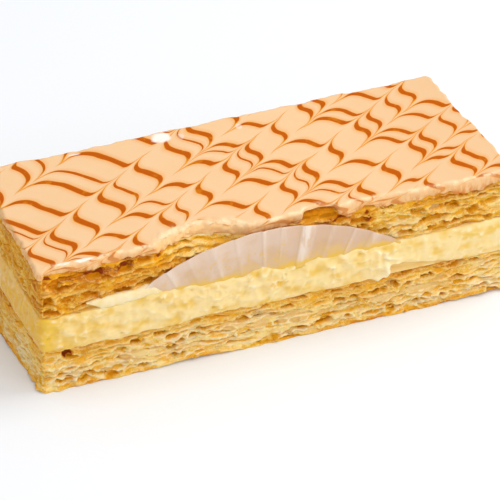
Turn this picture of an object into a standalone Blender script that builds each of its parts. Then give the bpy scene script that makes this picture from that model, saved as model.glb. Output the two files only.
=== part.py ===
"""Mille feuille slice: two blocks of puff pastry with custard between them, a sheet of feathered
icing on top, and a fluted paper that stands up out of the custard against the front of the lid.

Run with blender --background --python part.py. Metres, +Z up, X along the slice, front at -Y.
The origin is the middle of the underside of the whole slice's box."""

import math

import bmesh
import bpy
from mathutils import Vector, noise

MM = 0.001

# The slice
LENGTH = 126.8 * MM
WIDTH = 49.0 * MM
CORNER_RADIUS = 1.8 * MM
RIGHT_END_SLANT = -3.5 * MM  # how far the knife drifted along the right end, front to back
LEFT_END_SLANT_LOW = -3.0 * MM  # the same at the left end, at the foot of the slice
LEFT_END_SLANT_HIGH = 0.7 * MM  # and at its top

# The layers, from the table upwards, with a hair of air between them
AIR = 0.3 * MM
BASE_HEIGHT = 12.8 * MM
CUSTARD_HEIGHT = 9.2 * MM
LID_HEIGHT = 11.8 * MM
ICING_HEIGHT = 1.7 * MM
CUSTARD_FOOT = BASE_HEIGHT + AIR
LID_FOOT = CUSTARD_FOOT + CUSTARD_HEIGHT + AIR
LID_TOP = LID_FOOT + LID_HEIGHT
ICING_FOOT = LID_TOP + AIR
TOTAL_HEIGHT = ICING_FOOT + ICING_HEIGHT

# Unevenness: how high the bumps are, and about how long
BASE_SIDE_BUMPS = (0.35 * MM, 30 * MM)
BASE_RIM_BUMPS = (0.25 * MM, 8 * MM)
BASE_CURL_BUMPS = (0.12 * MM, 12 * MM)
LID_SIDE_BUMPS = (0.3 * MM, 26 * MM)
LEAF_EDGE_BUMPS = (0.55 * MM, 9 * MM)
GROOVE_BUMPS = (0.72 * MM, 11 * MM)
CUSTARD_BUMPS = (0.25 * MM, 13 * MM)
ICING_RAGGED = (0.25 * MM, 7 * MM)
ICING_DRIFT = (0.3 * MM, 25 * MM)
ICING_DROOP = (0.1 * MM, 9 * MM)

# The pastry's leaves, with a groove between each and the next
BASE_LEAVES = 6
LID_LEAVES = 5
GROOVE_DEPTH = 0.9 * MM
SHALLOWEST_GROOVE = 0.15 * MM
LEAF_SHIFT = 0.22  # share of a leaf's height that its edge rises and falls
LEAF_SHIFT_LENGTH = 16 * MM

# The base's rim curls up off the table, and more so near the two ends
RIM_TUCK = 0.8 * MM  # the flat underside starts this far in
RIM_CURL = 0.3 * MM
RIM_CURL_AT_ENDS = 0.5 * MM
CURLED_SHARE = 0.07  # of half the length
BASE_FIRST_LEAF = 0.9 * MM  # where the leaves start, above the table
BASE_TOP_STEP = 0.4 * MM  # the plain step above the last leaf, up and in

# The lid
LID_SETBACK = 0.6 * MM  # behind the base's edge
LID_FOOT_STEP = 0.2 * MM
LID_FOOT_INSET = 1.0 * MM
LID_TOP_STEP = 0.3 * MM
LID_TOP_INSET = 1.0 * MM
BROKEN_FROM = 0.6  # share of the lid's height above which it is broken back under the gaps

# The icing's edge, in from the outline: along the front at its left and right, and elsewhere
ICING_SETBACK_LEFT = 0.8 * MM
ICING_SETBACK_RIGHT = 0.1 * MM
ICING_SETBACK = 0.1 * MM
# Its rounded rim from the underside up: how far in from the edge, and share of the height
ICING_RIM = [
    (1.6 * MM, 0.0),
    (0.5 * MM, 0.0),
    (0.05 * MM, 0.3),
    (0.0, 0.62),
    (0.25 * MM, 0.9),
    (0.9 * MM, 1.0),
]

# The icing's two broken places at the front: middle, half width, depth, and how square they are
CRUMBLED = {"middle": -21.0 * MM, "half": 12.5 * MM, "depth": 5.2 * MM, "power": 2}
BLISTER = {"middle": 12.0 * MM, "half": 4.9 * MM, "depth": 4.2 * MM, "power": 6}

# The custard: it swells out along most of the front and is wiped back at the right
CUSTARD_SWELL = 0.8 * MM
CUSTARD_SWELL_ELSEWHERE = 0.1 * MM
CUSTARD_WIPED_BACK = 1.3 * MM
CUSTARD_STEP = 28.0 * MM  # where along the front it changes
CUSTARD_STEP_WIDTH = 2.5 * MM
# Its face from the foot up: share of the height, and how far it stands in from the swell
CUSTARD_FACE = [
    (0.0, 1.0 * MM),
    (0.06, 0.25 * MM),
    (0.3, 0.0),
    (0.65, -0.05 * MM),
    (0.94, 0.1 * MM),
    (1.0, 0.6 * MM),
]

# The fluted paper: a segment of a round sheet
PAPER_RADIUS = 60.0 * MM
PAPER_MIDDLE = -4.0 * MM  # along the front
PAPER_TOP = 34.9 * MM
PAPER_FOOT = 21.4 * MM
PAPER_THICKNESS = 0.3 * MM
PAPER_PLANE = -WIDTH / 2 + 0.1 * MM  # middle of the sheet, across the slice
PAPER_TIP = 0.985  # the sheet stops just short of the segment's sharp tips
FLUTE_PITCH = math.radians(6.2)
FLUTE_DEPTH = 0.2 * MM
FLUTE_AT_FOOT = 0.3  # share of that depth left at the foot
SLOT_HALF_WIDTH = 0.65 * MM  # the gap in the custard that the paper's foot stands in
SLOT_SPARE = 0.4 * MM
ROOM_BEHIND_PAPER = 0.55 * MM  # the lid's front stands back this far along the paper
ROOM_HALF_LENGTH = 43.0 * MM

# Points: columns round the slice, and the paper's grid
LONG_COLUMNS = 36
SHORT_COLUMNS = 13
CORNER_COLUMNS = 2
PAPER_COLUMNS = 60
PAPER_ROWS = 4

NOISE_GAIN = 1.6  # brings Blender's smooth noise up to about -1 to 1
NOISE_STEP = 7.3  # keeps one seed's noise clear of the next one's
FACES_FRONT = -0.7  # outward y below which a place counts as the front side


def new_material(name, colour, roughness):
    """A Principled BSDF of one colour."""
    material = bpy.data.materials.new(name)
    material.use_nodes = True
    shader = material.node_tree.nodes["Principled BSDF"]
    shader.inputs["Base Color"].default_value = (*colour, 1.0)
    shader.inputs["Roughness"].default_value = roughness
    shader.inputs["Metallic"].default_value = 0.0
    return material


def outline():
    """Places round the plan, anticlockwise from the front left: (x, y, outward x, outward y)."""
    across = LENGTH / 2 - CORNER_RADIUS
    deep = WIDTH / 2 - CORNER_RADIUS
    corners = [(-across, -deep), (across, -deep), (across, deep), (-across, deep)]
    columns = [LONG_COLUMNS, SHORT_COLUMNS, LONG_COLUMNS, SHORT_COLUMNS]
    places = []
    for side in range(4):
        start, end = Vector(corners[side]), Vector(corners[(side + 1) % 4])
        heading = (end - start).normalized()
        out = Vector((heading.y, -heading.x))
        for step in range(columns[side]):
            at = start.lerp(end, step / (columns[side] - 1)) + out * CORNER_RADIUS
            places.append((at.x, at.y, out.x, out.y))
        for step in range(1, CORNER_COLUMNS + 1):
            turn = math.atan2(out.y, out.x) + math.pi / 2 * step / (CORNER_COLUMNS + 1)
            round_out = Vector((math.cos(turn), math.sin(turn)))
            at = end + round_out * CORNER_RADIUS
            places.append((at.x, at.y, round_out.x, round_out.y))
    return places


OUTLINE = outline()


def slanted(x, y, z):
    """A point of the true box moved as the knife cut the two ends, a little off square."""
    share = y / WIDTH + 0.5
    if x > 0:
        return x + RIGHT_END_SLANT * share * x / (LENGTH / 2)
    height = min(1.0, z / TOTAL_HEIGHT)
    slant = LEFT_END_SLANT_LOW + (LEFT_END_SLANT_HIGH - LEFT_END_SLANT_LOW) * height
    return x - slant * share * x / (LENGTH / 2)


def wave(place, length, seed):
    """Smooth unevenness from about -1 to 1 round the slice, with bumps of about this length."""
    x, y = place[0], place[1]
    return NOISE_GAIN * noise.noise(Vector((x / length, y / length, NOISE_STEP * seed)))


def bumps(place, size, seed):
    """Unevenness of a given height and length."""
    height, length = size
    return height * wave(place, length, seed)


def facing_front(place):
    """1 on the front side and 0 on the others."""
    return 1.0 if place[3] < FACES_FRONT else 0.0


def broken(place, where):
    """0 to 1: how far a broken place at the front edge reaches in at this point."""
    reach = abs((place[0] - where["middle"]) / where["half"])
    return facing_front(place) * max(0.0, 1.0 - reach ** where["power"])


def broken_in(place):
    """How far the icing has gone from the front edge."""
    return max(broken(place, where) * where["depth"] for where in (CRUMBLED, BLISTER))


def ring(inset, height):
    """A ring of the body: inset and height are functions of the place on the outline."""

    def point(place):
        x, y, out_x, out_y = place
        z = height(place)
        x -= inset(place) * out_x
        y -= inset(place) * out_y
        return Vector((slanted(x, y, z), y, z))

    return point


def ring_stack(name, rings, material):
    """A closed body: a cylinder cut across at each ring, its rings then laid on the outline."""
    sheet = bmesh.new()
    last = len(rings) - 1
    bmesh.ops.create_cone(
        sheet, cap_ends=True, segments=len(OUTLINE), radius1=1, radius2=1, depth=last
    )
    bmesh.ops.translate(sheet, verts=sheet.verts, vec=(0, 0, last / 2))
    for level in range(1, last):
        everything = [*sheet.verts, *sheet.edges, *sheet.faces]
        bmesh.ops.bisect_plane(
            sheet, geom=everything, dist=1e-6, plane_co=(0, 0, level), plane_no=(0, 0, 1)
        )
    for vert in sheet.verts:
        turn = math.atan2(-vert.co.x, vert.co.y) / math.tau
        place = OUTLINE[round(turn * len(OUTLINE)) % len(OUTLINE)]
        vert.co = rings[round(vert.co.z)](place)
    mesh = bpy.data.meshes.new(name)
    sheet.to_mesh(mesh)
    sheet.free()
    mesh.materials.append(material)
    return new_object(name, mesh)


def new_object(name, mesh):
    """Puts a mesh into the slice as a named piece."""
    piece = bpy.data.objects.new(name, mesh)
    slice_parts.objects.link(piece)
    return piece


def leaf_rings(foot, height, leaves, seed, inset_at):
    """Two rings for each pastry leaf: the groove below it and the edge of the leaf itself."""
    pitch = height / leaves
    rings = []
    for leaf in range(leaves):
        middle = foot + (leaf + 0.5) * pitch
        number = seed + leaf

        def leaf_inset(place, number=number, middle=middle):
            return inset_at(place, middle) - bumps(place, LEAF_EDGE_BUMPS, number)

        def leaf_height(place, number=number, middle=middle):
            shift = wave(place, LEAF_SHIFT_LENGTH, number + 0.5)
            return middle + LEAF_SHIFT * pitch * shift

        rings.append(ring(leaf_inset, leaf_height))
        if leaf == leaves - 1:
            break
        edge = middle + pitch / 2

        def groove_inset(place, number=number, edge=edge):
            depth = GROOVE_DEPTH + bumps(place, GROOVE_BUMPS, number + 0.25)
            return inset_at(place, edge) + max(SHALLOWEST_GROOVE, depth)

        def groove_height(place, number=number, edge=edge):
            shift = wave(place, LEAF_SHIFT_LENGTH, number + 0.75)
            return edge + LEAF_SHIFT * pitch * shift

        rings.append(ring(groove_inset, groove_height))
    return rings


def base_pastry():
    """The lower block. Its underside is flat but for the rim, which curls up at the ends."""

    def side(place, z):
        return bumps(place, BASE_SIDE_BUMPS, 3)

    def rim_inset(place):
        return side(place, 0) + bumps(place, BASE_RIM_BUMPS, 40)

    def curl(place):
        near_end = max(0.0, abs(place[0]) / (LENGTH / 2) - 1 + CURLED_SHARE) / CURLED_SHARE
        return RIM_CURL + RIM_CURL_AT_ENDS * near_end + bumps(place, BASE_CURL_BUMPS, 41)

    rings = [
        ring(lambda place: rim_inset(place) + RIM_TUCK, lambda place: 0.0),
        ring(rim_inset, curl),
    ]
    leaves_height = BASE_HEIGHT - BASE_FIRST_LEAF - BASE_TOP_STEP
    rings += leaf_rings(BASE_FIRST_LEAF, leaves_height, BASE_LEAVES, 0, side)
    rings.append(
        ring(lambda place: side(place, 0) + BASE_TOP_STEP, lambda place: BASE_HEIGHT)
    )
    return ring_stack("base_pastry", rings, PASTRY)


def custard():
    """The filling, swelling out between the blocks, with the slot that the paper stands in."""

    def swell(place):
        """How far the filling stands out of the pastry's edge here."""
        out = CUSTARD_SWELL_ELSEWHERE
        if facing_front(place):
            past = (place[0] - CUSTARD_STEP) / CUSTARD_STEP_WIDTH
            wiped = (1 + math.tanh(past)) / 2
            out = CUSTARD_SWELL * (1 - wiped) - CUSTARD_WIPED_BACK * wiped
        return out + bumps(place, CUSTARD_BUMPS, 50)

    rings = []
    for share, inward in CUSTARD_FACE:

        def inset(place, inward=inward):
            return inward - swell(place)

        def height(place, share=share):
            return CUSTARD_FOOT + share * CUSTARD_HEIGHT

        rings.append(ring(inset, height))
    body = ring_stack("custard", rings, CUSTARD)

    half_chord = math.sqrt(
        PAPER_RADIUS**2 - (PAPER_RADIUS - PAPER_TOP + PAPER_FOOT) ** 2
    )
    slot_length = 2 * (half_chord + SLOT_SPARE + PAPER_THICKNESS)
    slot_foot = PAPER_FOOT - AIR
    slot_height = 2 * (LID_FOOT - slot_foot)
    bpy.ops.mesh.primitive_cube_add(
        size=1, location=(PAPER_MIDDLE, PAPER_PLANE, slot_foot + slot_height / 2)
    )
    slot = bpy.context.object
    slot.name = "paper_slot_cutter"
    slot.scale = (slot_length, 2 * SLOT_HALF_WIDTH, slot_height)
    bpy.ops.object.transform_apply(location=False, rotation=False, scale=True)
    slot.hide_render = True
    slot.display_type = "WIRE"
    for holder in slot.users_collection:
        holder.objects.unlink(slot)
    cutters.objects.link(slot)
    cut = body.modifiers.new("paper slot", "BOOLEAN")
    cut.operation = "DIFFERENCE"
    cut.object = slot
    return body


def lid_pastry():
    """The upper block. Its top leaves are broken back in steps where the icing has gone."""

    def side(place, z):
        up = (z - LID_FOOT) / LID_HEIGHT
        gone = broken_in(place) * max(0.0, (up - BROKEN_FROM) / (1 - BROKEN_FROM)) ** 1.5
        return LID_SETBACK + bumps(place, LID_SIDE_BUMPS, 60) + gone

    def front_room(place):
        """Room for the paper, which stands against the front of the lid."""
        along_paper = (place[0] - PAPER_MIDDLE) / ROOM_HALF_LENGTH
        return facing_front(place) * max(0.0, 1 - along_paper**8) * ROOM_BEHIND_PAPER

    def held_back(place, z):
        return side(place, z) + front_room(place)

    def foot_inset(place):
        return held_back(place, LID_FOOT) + LID_FOOT_INSET

    def top_inset(place):
        return side(place, LID_TOP) + LID_TOP_INSET

    first_leaf = LID_FOOT + LID_FOOT_STEP
    leaves_height = LID_HEIGHT - LID_FOOT_STEP - LID_TOP_STEP
    rings = [ring(foot_inset, lambda place: LID_FOOT)]
    rings += leaf_rings(first_leaf, leaves_height, LID_LEAVES, 20, held_back)
    rings.append(ring(top_inset, lambda place: LID_TOP))
    return ring_stack("lid_pastry", rings, LID)


def icing():
    """The fondant sheet, with a rounded rim that hangs a little over the lid's edge."""

    def edge(place):
        """Inset of the rim from the slice's outline."""
        ragged = bumps(place, ICING_RAGGED, 80)
        if not facing_front(place):
            return ICING_SETBACK + ragged
        along = place[0] / LENGTH + 0.5
        setback = ICING_SETBACK_LEFT + (ICING_SETBACK_RIGHT - ICING_SETBACK_LEFT) * along
        return setback + broken_in(place) + ragged + bumps(place, ICING_DRIFT, 81)

    rings = []
    for inward, share in ICING_RIM:

        def inset(place, inward=inward):
            return edge(place) + inward

        def height(place, share=share):
            droop = 0.0 if share in (0.0, 1.0) else bumps(place, ICING_DROOP, 82)
            return ICING_FOOT + share * ICING_HEIGHT + droop

        rings.append(ring(inset, height))
    return ring_stack("icing", rings, ICING)


def paper_liner():
    """A fluted segment of a round sheet of paper, as a grid in polar places made solid."""
    middle_height = PAPER_TOP - PAPER_RADIUS
    half_turn = math.acos((PAPER_FOOT - middle_height) / PAPER_RADIUS)
    bpy.ops.mesh.primitive_grid_add(
        x_subdivisions=PAPER_COLUMNS, y_subdivisions=PAPER_ROWS, size=2
    )
    sheet = bpy.context.object
    sheet.name = sheet.data.name = "paper_liner"
    for holder in sheet.users_collection:
        holder.objects.unlink(sheet)
    slice_parts.objects.link(sheet)
    for vert in sheet.data.vertices:
        turn = vert.co.x * half_turn * PAPER_TIP
        share = (vert.co.y + 1) / 2
        lowest = (PAPER_FOOT - middle_height) / math.cos(turn)
        radius = lowest + share * (PAPER_RADIUS - lowest)
        fold = FLUTE_DEPTH * math.sin(math.tau * turn / FLUTE_PITCH)
        vert.co = (
            PAPER_MIDDLE + radius * math.sin(turn),
            PAPER_PLANE - fold * (FLUTE_AT_FOOT + (1 - FLUTE_AT_FOOT) * share),
            middle_height + radius * math.cos(turn),
        )
    thick = sheet.modifiers.new("paper thickness", "SOLIDIFY")
    thick.thickness = PAPER_THICKNESS
    thick.offset = 0.0
    sheet.data.materials.append(PAPER)
    return sheet


def centre_on_origin():
    """Moves everything so that the origin is the middle of the underside of the whole box."""
    graph = bpy.context.evaluated_depsgraph_get()
    corners = []
    for piece in slice_parts.objects:
        corners += [v.co.copy() for v in piece.evaluated_get(graph).to_mesh().vertices]
    low = [min(c[axis] for c in corners) for axis in range(3)]
    high = [max(c[axis] for c in corners) for axis in range(3)]
    shift = Vector((-(low[0] + high[0]) / 2, -(low[1] + high[1]) / 2, -low[2]))
    for piece in (*slice_parts.objects, *cutters.objects):
        piece.location += shift


for old in list(bpy.data.objects):
    bpy.data.objects.remove(old)
slice_parts = bpy.data.collections.new("mille feuille slice")
cutters = bpy.data.collections.new("cutters")
bpy.context.scene.collection.children.link(slice_parts)
bpy.context.scene.collection.children.link(cutters)

PASTRY = new_material("base pastry", (0.78, 0.56, 0.26), 0.75)
LID = new_material("lid pastry", (0.72, 0.46, 0.18), 0.75)
CUSTARD = new_material("custard", (0.93, 0.78, 0.36), 0.45)
ICING = new_material("icing", (0.95, 0.66, 0.42), 0.3)
PAPER = new_material("paper", (0.86, 0.76, 0.72), 0.6)

base_pastry()
custard()
lid_pastry()
icing()
paper_liner()
bpy.context.view_layer.update()
centre_on_origin()
bpy.context.view_layer.update()
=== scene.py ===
"""Mille feuille slice, dressed: two blocks of puff pastry with custard between them, a fluted
paper stood at the front, and a fondant top feathered with caramel lines. Metres, +Z up, front at
-Y. Each section makes one piece of the slice, from the table upwards, then the studio."""

import math

import bmesh
import bpy
import numpy as np
from mathutils import Matrix, Vector


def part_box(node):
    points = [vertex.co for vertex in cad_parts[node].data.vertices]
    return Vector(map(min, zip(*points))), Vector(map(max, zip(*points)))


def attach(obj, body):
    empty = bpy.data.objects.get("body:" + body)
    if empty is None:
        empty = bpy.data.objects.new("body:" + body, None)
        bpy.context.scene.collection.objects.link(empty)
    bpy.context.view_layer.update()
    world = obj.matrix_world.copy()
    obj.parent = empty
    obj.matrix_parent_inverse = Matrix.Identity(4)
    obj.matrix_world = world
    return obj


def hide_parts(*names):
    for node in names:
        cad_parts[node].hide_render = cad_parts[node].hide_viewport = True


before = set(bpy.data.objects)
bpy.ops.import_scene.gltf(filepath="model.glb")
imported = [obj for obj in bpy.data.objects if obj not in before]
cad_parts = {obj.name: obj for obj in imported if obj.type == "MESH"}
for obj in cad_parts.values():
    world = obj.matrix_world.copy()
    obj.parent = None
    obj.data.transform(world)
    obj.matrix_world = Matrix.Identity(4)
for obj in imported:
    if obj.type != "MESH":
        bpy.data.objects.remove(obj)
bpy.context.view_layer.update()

# --------------------------------------------------
# The cut. A baker slices the bar out of a long strip with two long cuts, and squares off its
# ends with two short ones that drift a little. Every layer shares that outline, so it comes
# first: places spaced evenly round the bar, which the skins of all the layers are hung on.

MM = 0.001
LENGTH = 126.8 * MM
WIDTH = 49.0 * MM
CORNER_RADIUS = 1.6 * MM
RIGHT_END_SLANT = -3.5 * MM
LEFT_END_SLANT_LOW = -3.0 * MM
LEFT_END_SLANT_HIGH = 0.7 * MM

base_low, base_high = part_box("base_pastry")
icing_low, icing_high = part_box("icing")
SLICE_TOP = icing_high.z
BASE_END_WANDER = 0.25 * MM
MIDDLE = Vector((base_high.x - BASE_END_WANDER - LENGTH / 2, (base_low.y + base_high.y) / 2, 0))


def eased(value, low, high):
    """From 0 to 1, gently, as a number or an array goes from low to high."""
    share = np.clip((value - low) / (high - low), 0, 1)
    return share * share * (3 - 2 * share)


class Cut:
    """Places round the slab, anticlockwise from the front left corner, with the way out."""

    def __init__(self, columns, seed, radius=CORNER_RADIUS):
        self.dice = np.random.default_rng(seed)
        straights = [LENGTH - 2 * radius, WIDTH - 2 * radius] * 2
        arc = radius * math.pi / 2
        self.round = sum(straights) + 4 * arc
        self.run = np.arange(columns) * self.round / columns
        self.x, self.y, self.out_x, self.out_y = np.zeros((4, columns))
        corner = Vector((radius - LENGTH / 2, radius - WIDTH / 2))
        heading, start = 0.0, 0.0
        for straight in straights:
            along = self.run - start
            here = (along >= 0) & (along < straight + arc)
            forward = np.clip(along[here], 0, straight)
            bend = np.clip(along[here] - straight, 0, arc) / radius
            way = Vector((math.cos(heading), math.sin(heading)))
            self.out_x[here] = np.sin(heading + bend)
            self.out_y[here] = -np.cos(heading + bend)
            self.x[here] = corner.x + way.x * forward + radius * self.out_x[here]
            self.y[here] = corner.y + way.y * forward + radius * self.out_y[here]
            corner += way * straight
            heading += math.pi / 2
            start += straight + arc
        self.front = self.out_y < -0.9
        self.outward = np.stack([self.out_x, self.out_y, 0 * self.run], axis=-1)

    def ring(self, inset, z):
        """A ring of points this far in from the cut, at this height."""
        across = LENGTH / 2 - inset
        deep = WIDTH / 2 - inset
        x = np.clip(self.x - inset * self.out_x, -across, across)
        y = np.clip(self.y - inset * self.out_y, -deep, deep)
        share = y / WIDTH + 0.5
        height = np.clip(z / SLICE_TOP, 0, 1)
        drift = LEFT_END_SLANT_LOW + (LEFT_END_SLANT_HIGH - LEFT_END_SLANT_LOW) * height
        slant = np.where(x > 0, RIGHT_END_SLANT, -drift) * share * x / (LENGTH / 2)
        return np.stack([x + slant + MIDDLE.x, y + MIDDLE.y, z + 0 * x], axis=-1)

    def drawn_in(self, ring, share):
        """A ring shrunk level towards the slab's middle line, where no hollow is left in it."""
        spine = np.clip(ring[:, 0] - MIDDLE.x, (WIDTH - LENGTH) / 2, (LENGTH - WIDTH) / 2)
        spine = np.stack([spine + MIDDLE.x, MIDDLE.y + 0 * spine, ring[:, 2]], axis=-1)
        return spine + share * (ring - spine)

    def waves(self, length):
        """Smooth unevenness from -1 to 1 round the slab, with bumps about this many mm long."""
        count = max(4, round(self.round / (length * MM)))
        heights = self.dice.uniform(-1, 1, count)
        at = self.run / self.round * count + self.dice.uniform(0, count)
        left = np.floor(at).astype(int)
        ease = eased(at - left, 0, 1)
        return heights[left % count] * (1 - ease) + heights[(left + 1) % count] * ease

    def near(self, x, half_width):
        """A rounded hump along the front side, 1 at this place and fading beside it, in mm."""
        return np.where(self.front, np.exp(-(((self.x / MM - x) / half_width) ** 2)), 0)


# --------------------------------------------------
# Baked puff pastry, which both blocks and their loose flakes are made of: brittle leaves of
# dough, pale where they are thick, glassy amber where the butter soaked them, and toasted brown
# at the skin. Its hollows are painted deeper amber, partly as painted shade, and its proud edges
# paler as painted light. One node group gives its colour, roughness and crumb.


def srgb(red, green, blue):
    """A colour as a screen shows it, from 0 to 255, made linear."""
    parts = [c / 255 for c in (red, green, blue)]
    parts = [c / 12.92 if c <= 0.04045 else ((c + 0.055) / 1.055) ** 2.4 for c in parts]
    return (*parts, 1.0)


class Flow:
    """What comes out of a node, so that a sum of two of them is written as a plain sum."""

    def __init__(self, socket):
        self.socket = socket
        self.tree = socket.id_data

    def __getitem__(self, title):
        """Another output of the same node."""
        return Flow(self.socket.node.outputs[title])

    def __add__(self, other):
        return calc("ADD", self, other)

    def __sub__(self, other):
        return calc("SUBTRACT", self, other)

    def __rsub__(self, other):
        return calc("SUBTRACT", other, self)

    def __mul__(self, other):
        return calc("MULTIPLY", self, other)

    def __truediv__(self, other):
        return calc("DIVIDE", self, other)

    def __rtruediv__(self, other):
        return calc("DIVIDE", other, self)

    def __abs__(self):
        return calc("ABSOLUTE", self)


def fed(node, inputs):
    """The node, with each of these inputs set to a value or fed by a flow."""
    for key, value in inputs.items():
        if isinstance(value, Flow):
            value.tree.links.new(value.socket, node.inputs[key])
        else:
            node.inputs[key].default_value = value
    return node


def place(tree, kind, inputs=None, out=0, **settings):
    """What comes out of a new node with these inputs and settings."""
    made = tree.nodes.new(kind)
    for key, value in settings.items():
        setattr(made, key, value)
    return Flow(fed(made, inputs or {}).outputs[out])


def calc(operation, *values):
    """The result of a Math node, or of a Vector Math node where one of its values is a vector."""
    first = next(value for value in values if isinstance(value, Flow))
    vector = first.socket.type == "VECTOR" or any(isinstance(value, tuple) for value in values)
    kind = "ShaderNodeVectorMath" if vector else "ShaderNodeMath"
    return place(first.tree, kind, dict(enumerate(values)), operation=operation)


def scaled(vector, by):
    """A vector made longer or shorter by a number."""
    return place(vector.tree, "ShaderNodeVectorMath", {0: vector, "Scale": by}, operation="SCALE")


def blended(factor, first, second):
    """One colour to another as the factor goes from 0 to 1."""
    inputs = {0: factor, 6: first, 7: second}
    return place(factor.tree, "ShaderNodeMix", inputs, 2, data_type="RGBA")


def coated(colour, *coats):
    """A colour with coats of others over it, each of them as thick as a factor says."""
    for factor, shade in coats:
        colour = blended(factor, colour, shade)
    return colour


def faded(value, low, high, to_low=0.0, to_high=1.0):
    """One number to another, eased, as the value goes from low to high."""
    inputs = dict(enumerate((value, low, high, to_low, to_high)))
    return place(value.tree, "ShaderNodeMapRange", inputs, interpolation_type="SMOOTHSTEP")


def grain(vector, size, detail=2.0, rough=0.5):
    """Noise with bumps about this many metres across."""
    inputs = {"Vector": vector, "Scale": 1 / size, "Detail": detail, "Roughness": rough}
    return place(vector.tree, "ShaderNodeTexNoise", inputs, normalize=True)


def centred(noise, reach):
    """Noise about zero, this many times over."""
    return calc("MULTIPLY_ADD", noise, 2 * reach, -reach)


def new_tree(name, kind, inputs, outputs):
    """An empty node group. Each of its sockets has a name, and a kind or a number to start at."""
    tree = bpy.data.node_groups.new(name, kind)
    for way, sockets in (("INPUT", inputs), ("OUTPUT", outputs)):
        for title, start in sockets.items():
            number = {float: "Float", int: "Int"}.get(type(start))
            kind_of = "NodeSocket" + (number or start)
            socket = tree.interface.new_socket(title, in_out=way, socket_type=kind_of)
            if number:
                socket.default_value = start
    given = Flow(tree.nodes.new("NodeGroupInput").outputs[0])
    return tree, given, tree.nodes.new("NodeGroupOutput")


FLOUR = srgb(242, 222, 178)
CREAM = srgb(245, 217, 146)
STRAW = srgb(234, 182, 72)
GOLD = srgb(236, 168, 20)
HONEY = srgb(226, 168, 30)
AMBER = srgb(216, 136, 2)
UMBER_SHADE = srgb(188, 118, 0)
TOAST = srgb(206, 126, 26)
SCORCHED = srgb(136, 54, 6)
BISCUIT = srgb(226, 194, 136)

baked_dough, given, result = new_tree(
    "baked dough", "ShaderNodeTree",
    {"Vector": "Vector", "Hollow": 0.0, "Bake": 0.3, "Film": 0.0},
    {"Colour": "Color", "Roughness": "Float", "Height": "Float"})
baking = given["Bake"]
drawn_out = given["Vector"] * (0.25, 0.25, 1.0)
patches = grain(drawn_out, 1.7 * MM, 3.0, 0.6)
fine = grain(given["Vector"], 0.45 * MM, 2.0, 0.6)
buttery = faded(grain(drawn_out, 1.5 * MM), 0.5, 0.62)
floury = faded(grain(drawn_out, 2.2 * MM), 0.52, 0.64) * faded(baking, 0.14, 0.3, 0.9, 0.15)
bake = centred(patches, 0.5) + baking + centred(fine, 0.25)
ramp = place(baked_dough, "ShaderNodeValToRGB", {"Fac": bake})
shades = ramp.socket.node.color_ramp.elements
STOPS = [(0.08, CREAM), (0.34, STRAW), (0.62, TOAST), (0.95, SCORCHED)]
while len(shades) < len(STOPS):
    shades.new(0.5)
for shade, (at, tone) in zip(shades, STOPS):
    shade.position = at
    shade.color = tone
hollow = given["Hollow"] + centred(fine, 0.2)
# The amber of hollow places: partly the butter soaked into them, partly painted shade
soaked_and_shaded = blended(faded(baking, 0.2, 0.5), HONEY, AMBER)
# The pale of proud edges: partly the dough's own pale, partly painted light
edge_pale_and_lit = blended(faded(baking, 0.12, 0.3), FLOUR, CREAM)
colour = coated(
    ramp,
    (buttery * 0.75, GOLD),
    (floury, BISCUIT),
    (faded(hollow, 0.32, 0.64, 0.0, 0.9), soaked_and_shaded),
    (faded(hollow, 0.7, 1.15), UMBER_SHADE),
    (given["Film"] * 0.6, BISCUIT),
    (faded(hollow, 0.2, -0.1) * faded(baking, 0.1, 0.6, 0.85, 0.2), edge_pale_and_lit),
    (faded(bake, 0.7, 1.0), SCORCHED),
)
fed(result, {"Colour": colour, "Roughness": buttery * -0.3 + 0.7, "Height": fine + patches})


def new_material(name):
    """A material with its node tree, its shader and the place on the piece."""
    material = bpy.data.materials.new(name)
    material.use_nodes = True
    tree = material.node_tree
    there = place(tree, "ShaderNodeTexCoord", out="Object")
    return material, tree, tree.nodes["Principled BSDF"], there


def look(tree, title, out="Fac"):
    """One of the looks that a piece's mesh carries."""
    return place(tree, "ShaderNodeAttribute", out=out, attribute_name=title)


def relief(height, strength, distance):
    """A surface made rough by this height."""
    inputs = {"Strength": strength, "Distance": distance, "Height": height}
    return place(height.tree, "ShaderNodeBump", inputs)


def waxy(weight, radius, scale):
    """Inputs of a shader that light soaks into: how much, and how far by red, green and blue."""
    return {"Subsurface Weight": weight, "Subsurface Radius": radius, "Subsurface Scale": scale}


def pastry_material(name):
    """Pastry whose hollows, bake and films are looks that the mesh carries."""
    material, tree, shader, there = new_material(name)
    inputs = {title: look(tree, title.lower()) for title in ("Hollow", "Bake", "Film")}
    inputs["Vector"] = there
    dough = place(tree, "ShaderNodeGroup", inputs, node_tree=baked_dough)
    fed(shader, {
        "Base Color": dough["Colour"],
        "Roughness": dough["Roughness"],
        "Normal": relief(dough["Height"], 0.5, 0.12 * MM),
        "Specular IOR Level": 0.07,
        **waxy(0.35, (1.0, 0.55, 0.15), 0.6 * MM),
    })
    return material


# --------------------------------------------------
# Lamination, which gives both blocks their form. The dough is rolled with butter and folded,
# and in the oven its leaves puff apart. A knife then shows them as a wall of thin leaves, cracks
# and lens-shaped pockets. One Geometry Nodes tree presses these into a block's plain wall.


def combined(*parts):
    """A vector made of three numbers."""
    first = next(part for part in parts if isinstance(part, Flow))
    return place(first.tree, "ShaderNodeCombineXYZ", dict(enumerate(parts)))


def apart(vector):
    """A vector's three numbers."""
    x = place(vector.tree, "ShaderNodeSeparateXYZ", {0: vector})
    return x, x["Y"], x["Z"]


def named(tree, title, kind="FLOAT"):
    """A look or a way outward that the mesh carries into a tree."""
    return place(tree, "GeometryNodeInputNamedAttribute", {"Name": title}, data_type=kind)


def stored(geometry, title, value):
    """The mesh, which now carries this look."""
    inputs = {"Geometry": geometry, "Name": title, "Value": value}
    return place(geometry.tree, "GeometryNodeStoreNamedAttribute", inputs, data_type="FLOAT",
                 domain="POINT")


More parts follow.
